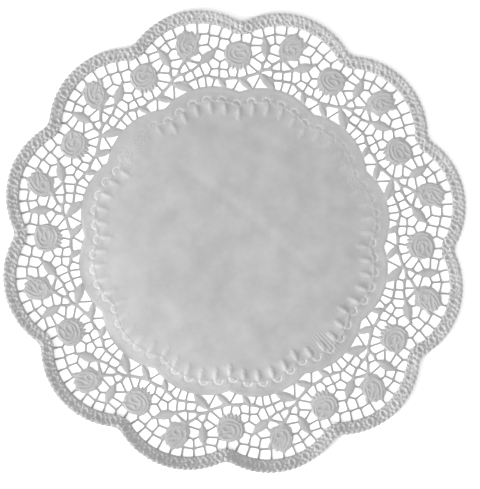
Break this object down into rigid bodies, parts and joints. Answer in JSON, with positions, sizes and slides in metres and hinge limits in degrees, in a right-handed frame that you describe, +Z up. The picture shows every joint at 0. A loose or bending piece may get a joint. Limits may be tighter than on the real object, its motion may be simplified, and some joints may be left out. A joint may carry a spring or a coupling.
{
  "type": "lace doily",
  "caption": "Round lace-pattern paper doily: a plain disc ringed with pressed pleats, a net of roses, leaves and bars, and a lobed, ribbed rim. It lies flat.",
  "frame": {"origin": "the middle of the underside, where the doily rests", "axes": "+Z up, out of the embossed face; +X and +Y lie in the sheet, with a notch between two lobes 28 degrees from +X and every 30 degrees on from it"},
  "size_m": [0.3538, 0.3538, 0.0018],
  "materials": {
    "paper": "matt white paper, slightly mottled, pressed into relief"
  },
  "bodies": {
    "root": {"doily": "paper"}
  },
  "joints": []
}
